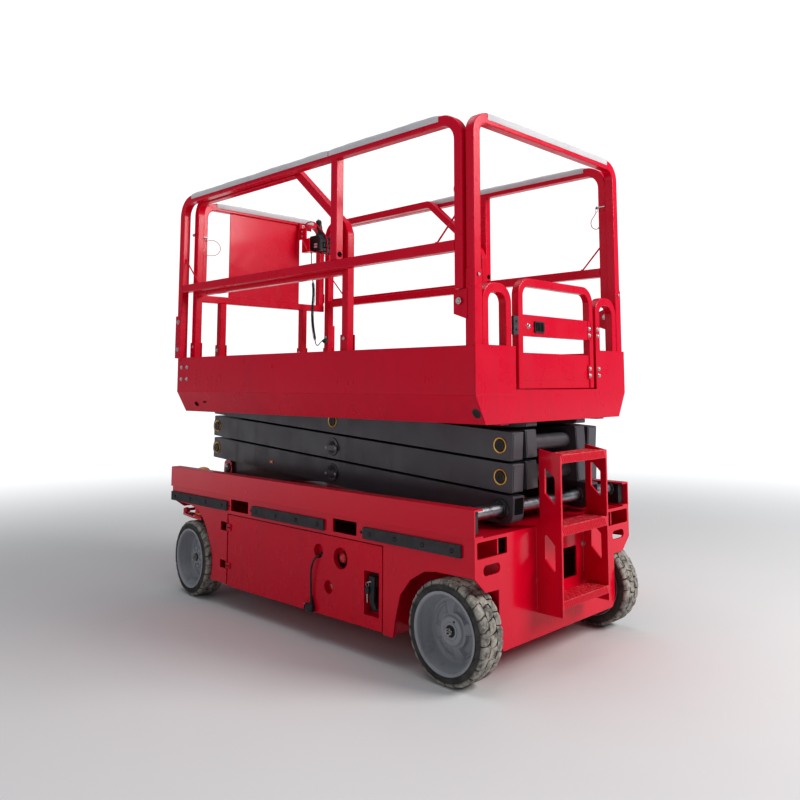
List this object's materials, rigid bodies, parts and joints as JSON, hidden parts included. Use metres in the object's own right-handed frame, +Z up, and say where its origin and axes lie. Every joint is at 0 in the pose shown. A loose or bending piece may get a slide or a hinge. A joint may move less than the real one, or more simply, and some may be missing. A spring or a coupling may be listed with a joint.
{
  "type": "scissor lift",
  "caption": "Slab scissor lift, lowered, with railed platform, sliding extension, entry gate, rear ladder, swing-out trays, steered wheels and stacked arms.",
  "frame": {"origin": "on the ground under the middle of the machine's outline", "axes": "+X forward (towards the steered wheels), +Y left, +Z up"},
  "size_m": [2.427, 1.2145, 2.293],
  "materials": {
    "red_paint": "semi-gloss",
    "charcoal_paint": "satin",
    "bright_steel": "ground",
    "black_plastic": "moulded",
    "black_rubber": "matte",
    "tyre_rubber": "worn",
    "grey_rim": "satin",
    "grip_foam": "soft foam",
    "signal_red": "gloss",
    "amber_lens": "clear"
  },
  "bodies": {
    "chassis": {"chassis_frame": "red_paint", "side_channels": "red_paint", "side_plates": "red_paint", "rear_ladder": "red_paint", "rub_strips": "black_rubber", "rear_axle": "bright_steel", "beacon_lamp": "amber_lens"},
    "left_tray": {"left_tray_door": "red_paint", "left_latch_handle": "black_plastic", "estop_button": "signal_red", "charger_cord": "black_rubber", "charger_plug": "black_plastic"},
    "right_tray": {"right_tray_door": "red_paint", "right_latch_handle": "black_plastic"},
    "wheel_rear_left": {"tyre_rear_left": "tyre_rubber", "rim_rear_left": "grey_rim"},
    "wheel_rear_right": {"tyre_rear_right": "tyre_rubber", "rim_rear_right": "grey_rim"},
    "wheel_front_left": {"tyre_front_left": "tyre_rubber", "rim_front_left": "grey_rim"},
    "wheel_front_right": {"tyre_front_right": "tyre_rubber", "rim_front_right": "grey_rim"},
    "knuckle_left_body": {"knuckle_left": "red_paint"},
    "knuckle_right_body": {"knuckle_right": "red_paint"},
    "tie_rod_body": {"tie_rod": "red_paint"},
    "inner_1": {"inner_arms_1": "charcoal_paint"},
    "outer_1": {"outer_arms_1": "charcoal_paint", "lower_slider_shaft": "bright_steel"},
    "inner_2": {"inner_arms_2": "charcoal_paint"},
    "outer_2": {"outer_arms_2": "charcoal_paint"},
    "inner_3": {"inner_arms_3": "charcoal_paint", "upper_slider_shaft": "bright_steel"},
    "outer_3": {"outer_arms_3": "charcoal_paint"},
    "lower_slider": {"lower_slide_blocks": "black_plastic"},
    "upper_slider": {"upper_slide_blocks": "black_plastic"},
    "ram_barrel": {"cylinder_barrel": "charcoal_paint"},
    "ram_rod": {"cylinder_rod": "bright_steel"},
    "platform": {"platform_deck": "red_paint", "platform_skirts": "red_paint", "platform_rear_plate": "red_paint", "corner_posts": "red_paint", "entry_loops": "red_paint", "main_rail_left": "red_paint", "main_rail_right": "red_paint", "rear_frame": "red_paint", "rail_grips": "grip_foam", "gate_hinges": "bright_steel"},
    "gate": {"entry_gate": "red_paint", "gate_latch": "black_plastic"},
    "extension": {"extension_deck": "red_paint", "inner_rail_left": "red_paint", "inner_rail_right": "red_paint", "front_frame": "red_paint", "front_grip": "grip_foam", "control_box": "black_plastic", "control_lead_top": "black_rubber", "control_cord_coil": "black_rubber", "control_lead_end": "black_rubber", "control_sockets": "black_plastic"}
  },
  "joints": [
    {"name": "lift", "type": "hinge", "parent": "chassis", "child": "inner_1", "pos_m": [1.1525, 0, 0.655], "axis": [0, 1, 0], "range_deg": [0, 50.4]},
    {"name": "stage_1_cross", "type": "hinge", "parent": "inner_1", "child": "outer_1", "pos_m": [0.06999, 0, 0.71983], "axis": [0, 1, 0], "range_deg": [-100.81, 0]},
    {"name": "stage_2_foot", "type": "hinge", "parent": "outer_1", "child": "inner_2", "pos_m": [1.1525, 0, 0.78467], "axis": [0, 1, 0], "range_deg": [0, 100.81]},
    {"name": "stage_2_cross", "type": "hinge", "parent": "inner_2", "child": "outer_2", "pos_m": [0.06999, 0, 0.8495], "axis": [0, 1, 0], "range_deg": [-100.81, 0]},
    {"name": "stage_3_foot", "type": "hinge", "parent": "outer_2", "child": "inner_3", "pos_m": [1.1525, 0, 0.91433], "axis": [0, 1, 0], "range_deg": [0, 100.81]},
    {"name": "stage_3_cross", "type": "hinge", "parent": "inner_3", "child": "outer_3", "pos_m": [0.06999, 0, 0.97917], "axis": [0, 1, 0], "range_deg": [-100.81, 0]},
    {"name": "platform_pivot", "type": "hinge", "parent": "outer_3", "child": "platform", "pos_m": [1.1525, 0, 1.044], "axis": [0, 1, 0], "range_deg": [0, 50.41]},
    {"name": "lower_slide_pivot", "type": "hinge", "parent": "outer_1", "child": "lower_slider", "pos_m": [-1.01252, 0, 0.655], "axis": [0, 1, 0], "range_deg": [0, 50.41]},
    {"name": "upper_slide_pivot", "type": "hinge", "parent": "inner_3", "child": "upper_slider", "pos_m": [-1.01252, 0, 1.044], "axis": [0, 1, 0], "range_deg": [-50.41, 0]},
    {"name": "ram_foot", "type": "hinge", "parent": "inner_1", "child": "ram_barrel", "pos_m": [-0.79401, 0, 0.77158], "axis": [0, 1, 0], "range_deg": [-110.82, 0]},
    {"name": "ram_stroke", "type": "slide", "parent": "ram_barrel", "child": "ram_rod", "axis": [0.9975, 0, 0.071], "range_m": [0, 0.57992]},
    {"name": "steer_left", "type": "hinge", "parent": "chassis", "child": "knuckle_left_body", "pos_m": [0.9715, 0.5265, 0.202], "axis": [0, 0, 1], "range_deg": [-65.4, 74.6]},
    {"name": "steer_right", "type": "hinge", "parent": "chassis", "child": "knuckle_right_body", "pos_m": [0.9715, -0.5265, 0.202], "axis": [0, 0, 1], "range_deg": [-65.4, 74.6]},
    {"name": "tie_rod_pivot", "type": "hinge", "parent": "knuckle_left_body", "child": "tie_rod_body", "pos_m": [1.16089, 0.51126, 0.437], "axis": [0, 0, 1], "range_deg": [-74.6, 65.4]},
    {"name": "roll_rear_left", "type": "hinge", "parent": "chassis", "child": "wheel_rear_left", "pos_m": [-0.9325, 0.5265, 0.202], "axis": [0, 1, 0], "continuous": true},
    {"name": "roll_rear_right", "type": "hinge", "parent": "chassis", "child": "wheel_rear_right", "pos_m": [-0.9325, -0.5265, 0.202], "axis": [0, 1, 0], "continuous": true},
    {"name": "roll_front_left", "type": "hinge", "parent": "knuckle_left_body", "child": "wheel_front_left", "pos_m": [0.9715, 0.5265, 0.202], "axis": [0.0802, 0.9968, 0], "continuous": true},
    {"name": "roll_front_right", "type": "hinge", "parent": "knuckle_right_body", "child": "wheel_front_right", "pos_m": [0.9715, -0.5265, 0.202], "axis": [0.0802, 0.9968, 0], "continuous": true},
    {"name": "left_tray_swing", "type": "hinge", "parent": "chassis", "child": "left_tray", "pos_m": [0.6145, 0.583, 0.3], "axis": [0, 0, -1], "range_deg": [0, 90]},
    {"name": "right_tray_swing", "type": "hinge", "parent": "chassis", "child": "right_tray", "pos_m": [0.6145, -0.583, 0.3], "axis": [0, 0, 1], "range_deg": [0, 90]},
    {"name": "gate_swing", "type": "hinge", "parent": "platform", "child": "gate", "pos_m": [-1.0465, -0.316, 1.34], "axis": [0, 0, -1], "range_deg": [0, 90]},
    {"name": "extension_slide", "type": "slide", "parent": "platform", "child": "extension", "axis": [1, 0, 0], "range_m": [0, 0.91]}
  ],
  "couplings": [
    {"joint": "stage_1_cross", "follows": "lift", "ratio": -2},
    {"joint": "stage_2_foot", "follows": "lift", "ratio": 2},
    {"joint": "stage_2_cross", "follows": "lift", "ratio": -2},
    {"joint": "stage_3_foot", "follows": "lift", "ratio": 2},
    {"joint": "stage_3_cross", "follows": "lift", "ratio": -2},
    {"joint": "platform_pivot", "follows": "lift", "ratio": 1},
    {"joint": "lower_slide_pivot", "follows": "lift", "ratio": 1},
    {"joint": "upper_slide_pivot", "follows": "lift", "ratio": -1},
    {"joint": "ram_foot", "follows": "lift", "ratio": -2.1987},
    {"joint": "ram_stroke", "follows": "lift", "m_per_rad": 0.65915},
    {"joint": "steer_right", "follows": "steer_left", "ratio": 1},
    {"joint": "tie_rod_pivot", "follows": "steer_left", "ratio": -1}
  ]
}
